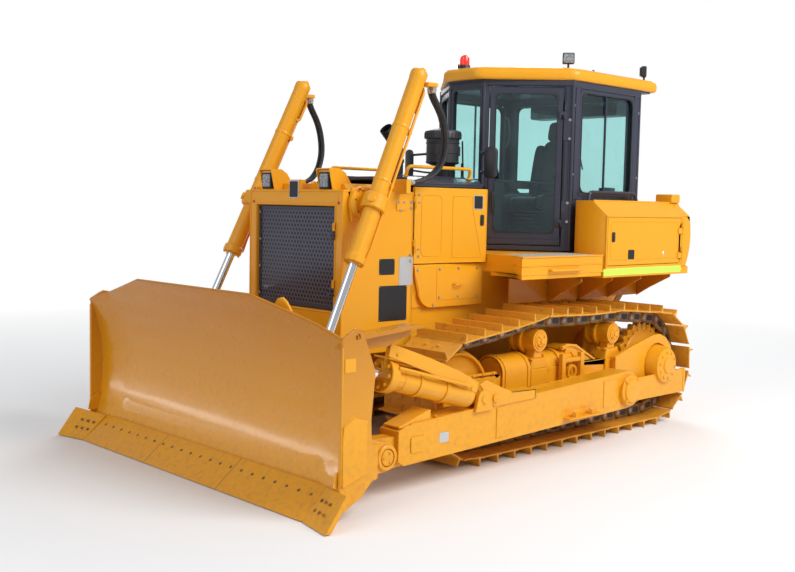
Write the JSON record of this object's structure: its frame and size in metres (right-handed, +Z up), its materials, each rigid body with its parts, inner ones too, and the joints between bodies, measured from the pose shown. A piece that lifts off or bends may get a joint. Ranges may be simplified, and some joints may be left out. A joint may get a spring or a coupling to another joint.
{
  "type": "bulldozer",
  "caption": "Crawler bulldozer with a tilting straight blade on push arms, lift cylinders on the radiator guard, a six-sided cab with hinged doors and fixed tracks.",
  "frame": {"origin": "middle of the overall length and width, on the ground", "axes": "+X forwards, +Y the machine's left, +Z up"},
  "size_m": [5.664, 3.7134, 3.5503],
  "materials": {
    "body_paint": "gloss",
    "dark_paint": "satin",
    "black_paint": "satin",
    "track_steel": "worn",
    "chrome_rod": "polished",
    "engine_block": "matt",
    "seat_cloth": "matt",
    "hose_rubber": "matt",
    "window_glass": "clear",
    "console_plastic": "matt"
  },
  "bodies": {
    "machine": {"left_track": "track_steel", "right_track": "track_steel", "left_sprocket": "body_paint", "right_sprocket": "body_paint", "left_idler": "body_paint", "right_idler": "body_paint", "left_track_rollers": "body_paint", "right_track_rollers": "body_paint", "left_track_frame": "body_paint", "right_track_frame": "body_paint", "left_side_box": "body_paint", "right_side_box": "body_paint", "left_side_window": "window_glass", "right_side_window": "window_glass", "left_lift_hoses": "hose_rubber", "right_lift_hoses": "hose_rubber", "main_frame": "body_paint", "engine": "engine_block", "radiator": "black_paint", "radiator_guard": "body_paint", "engine_hood": "dark_paint", "rear_cowl": "body_paint", "exhaust_stack": "black_paint", "air_precleaner": "black_paint", "platform": "body_paint", "fuel_tank": "body_paint", "cab_frame": "dark_paint", "front_window": "window_glass", "rear_window": "window_glass", "cab_roof": "body_paint", "operator_seat": "seat_cloth", "control_console": "console_plastic"},
    "right_trunnion_ball": {"right_trunnion_ball": "track_steel"},
    "left_trunnion_ball": {"left_trunnion_ball": "track_steel"},
    "right_push_arm": {"right_push_arm": "body_paint"},
    "left_push_arm": {"left_push_arm": "body_paint"},
    "blade": {"blade": "body_paint", "cutting_edge": "body_paint", "left_end_bit": "body_paint", "right_end_bit": "body_paint"},
    "tilt_cylinder": {"tilt_cylinder": "body_paint"},
    "tilt_rod": {"tilt_rod": "chrome_rod"},
    "blade_brace": {"blade_brace": "body_paint"},
    "grille_door": {"grille_door": "dark_paint"},
    "left_lift_yoke": {"left_lift_yoke": "body_paint"},
    "left_lift_cylinder": {"left_lift_cylinder": "body_paint"},
    "left_lift_piston": {"left_lift_piston": "track_steel"},
    "left_lift_rod": {"left_lift_rod": "chrome_rod"},
    "left_engine_door": {"left_engine_door": "body_paint"},
    "left_cab_door": {"left_cab_door": "dark_paint", "left_door_glass": "window_glass"},
    "left_side_box_door": {"left_side_box_door": "body_paint"},
    "right_lift_yoke": {"right_lift_yoke": "body_paint"},
    "right_lift_cylinder": {"right_lift_cylinder": "body_paint"},
    "right_lift_piston": {"right_lift_piston": "track_steel"},
    "right_lift_rod": {"right_lift_rod": "chrome_rod"},
    "right_engine_door": {"right_engine_door": "body_paint"},
    "right_cab_door": {"right_cab_door": "dark_paint", "right_door_glass": "window_glass"},
    "right_side_box_door": {"right_side_box_door": "body_paint"}
  },
  "joints": [
    {"name": "blade_lift", "type": "hinge", "parent": "machine", "child": "right_trunnion_ball", "pos_m": [-0.982, -1.43, 0.48], "axis": [0, -1, 0], "range_deg": [-8, 11]},
    {"name": "left_trunnion_pivot", "type": "hinge", "parent": "machine", "child": "left_trunnion_ball", "pos_m": [-0.982, 1.43, 0.48], "axis": [0, -1, 0], "range_deg": [-8.5, 11.5]},
    {"name": "blade_tilt", "type": "hinge", "parent": "right_trunnion_ball", "child": "blade", "pos_m": [2.043, 0, 0.335], "axis": [0.9989, 0, -0.0475], "range_deg": [-3, 3]},
    {"name": "left_arm_swing", "type": "hinge", "parent": "left_trunnion_ball", "child": "left_push_arm", "pos_m": [-0.982, 1.43, 0.48], "axis": [0, -1, 0], "range_deg": [-2, 2]},
    {"name": "right_arm_swing", "type": "hinge", "parent": "right_trunnion_ball", "child": "right_push_arm", "pos_m": [-0.982, -1.43, 0.48], "axis": [0, -1, 0], "range_deg": [-2, 2]},
    {"name": "tilt_cylinder_pivot", "type": "hinge", "parent": "left_push_arm", "child": "tilt_cylinder", "pos_m": [1.004, 1.48, 0.626], "axis": [0.3961, 0.2339, -0.8879], "range_deg": [-3, 3]},
    {"name": "tilt_rod_stroke", "type": "slide", "parent": "tilt_cylinder", "child": "tilt_rod", "axis": [0.9628, -0.0232, 0.2693], "range_m": [-0.019, 0.019]},
    {"name": "blade_brace_pivot", "type": "hinge", "parent": "right_push_arm", "child": "blade_brace", "pos_m": [1.004, -1.48, 0.626], "axis": [0.361, -0.2585, -0.896], "range_deg": [-3, 3]},
    {"name": "left_lift_yoke_pivot", "type": "hinge", "parent": "machine", "child": "left_lift_yoke", "pos_m": [1.491, 0.792, 2.115], "axis": [0.1385, -0.9891, -0.0495], "range_deg": [-7, 9]},
    {"name": "left_lift_cylinder_pivot", "type": "hinge", "parent": "left_lift_yoke", "child": "left_lift_cylinder", "pos_m": [1.491, 0.792, 2.115], "axis": [-0.7734, -0.4987, -0.3914], "range_deg": [-2.5, 2.5], "deforming": ["left_lift_hoses"]},
    {"name": "left_lift_stroke", "type": "slide", "parent": "left_lift_cylinder", "child": "left_lift_piston", "axis": [-0.4317, -0.0378, 0.9012], "range_m": [-0.43, 0.59]},
    {"name": "left_lift_rod_tilt_share", "type": "slide", "parent": "left_lift_piston", "child": "left_lift_rod", "axis": [-0.4317, -0.0378, 0.9012], "range_m": [-0.05, 0.05]},
    {"name": "right_lift_yoke_pivot", "type": "hinge", "parent": "machine", "child": "right_lift_yoke", "pos_m": [1.491, -0.792, 2.115], "axis": [-0.1385, -0.9891, 0.0495], "range_deg": [-7, 9]},
    {"name": "right_lift_cylinder_pivot", "type": "hinge", "parent": "right_lift_yoke", "child": "right_lift_cylinder", "pos_m": [1.491, -0.792, 2.115], "axis": [0.7734, -0.4987, 0.3914], "range_deg": [-2.5, 2.5], "deforming": ["right_lift_hoses"]},
    {"name": "right_lift_stroke", "type": "slide", "parent": "right_lift_cylinder", "child": "right_lift_piston", "axis": [-0.4317, 0.0378, 0.9012], "range_m": [-0.43, 0.59]},
    {"name": "right_lift_rod_tilt_share", "type": "slide", "parent": "right_lift_piston", "child": "right_lift_rod", "axis": [-0.4317, 0.0378, 0.9012], "range_m": [-0.05, 0.05]},
    {"name": "grille_door_hinge", "type": "hinge", "parent": "machine", "child": "grille_door", "pos_m": [1.672, 0.522, 0], "axis": [0, 0, -1], "range_deg": [-45, 0]},
    {"name": "left_engine_door_hinge", "type": "hinge", "parent": "machine", "child": "left_engine_door", "pos_m": [0.914, 0.664, 0], "axis": [0, 0, 1], "range_deg": [-75, 0]},
    {"name": "left_cab_door_hinge", "type": "hinge", "parent": "machine", "child": "left_cab_door", "pos_m": [-0.8778, 0.8041, 0], "axis": [0, 0, -1], "range_deg": [-105, 0]},
    {"name": "left_side_box_door_hinge", "type": "hinge", "parent": "machine", "child": "left_side_box_door", "pos_m": [-2.186, 1.29, 0], "axis": [0, 0, -1], "range_deg": [-100, 0]},
    {"name": "right_engine_door_hinge", "type": "hinge", "parent": "machine", "child": "right_engine_door", "pos_m": [0.914, -0.664, 0], "axis": [0, 0, -1], "range_deg": [-75, 0]},
    {"name": "right_cab_door_hinge", "type": "hinge", "parent": "machine", "child": "right_cab_door", "pos_m": [-0.8778, -0.8041, 0], "axis": [0, 0, 1], "range_deg": [-105, 0]},
    {"name": "right_side_box_door_hinge", "type": "hinge", "parent": "machine", "child": "right_side_box_door", "pos_m": [-2.186, -1.29, 0], "axis": [0, 0, 1], "range_deg": [-100, 0]}
  ],
  "couplings": [
    {"joint": "left_trunnion_pivot", "follows": "blade_lift", "ratio": 1},
    {"joint": "left_arm_swing", "follows": "blade_tilt", "ratio": 0.47273},
    {"joint": "right_arm_swing", "follows": "blade_tilt", "ratio": -0.47273},
    {"joint": "tilt_cylinder_pivot", "follows": "blade_tilt", "ratio": 0.5159},
    {"joint": "tilt_rod_stroke", "follows": "blade_tilt", "m_per_rad": 0.28465},
    {"joint": "blade_brace_pivot", "follows": "blade_tilt", "ratio": 0.54467},
    {"joint": "left_lift_yoke_pivot", "follows": "blade_lift", "ratio": 0.72291},
    {"joint": "left_lift_cylinder_pivot", "follows": "blade_tilt", "ratio": 0.53318},
    {"joint": "left_lift_stroke", "follows": "blade_lift", "m_per_rad": 2.9103},
    {"joint": "left_lift_rod_tilt_share", "follows": "blade_tilt", "m_per_rad": 0.72239},
    {"joint": "right_lift_yoke_pivot", "follows": "blade_lift", "ratio": 0.72291},
    {"joint": "right_lift_cylinder_pivot", "follows": "blade_tilt", "ratio": -0.53318},
    {"joint": "right_lift_stroke", "follows": "blade_lift", "m_per_rad": 2.9103},
    {"joint": "right_lift_rod_tilt_share", "follows": "blade_tilt", "m_per_rad": -0.72239}
  ]
}
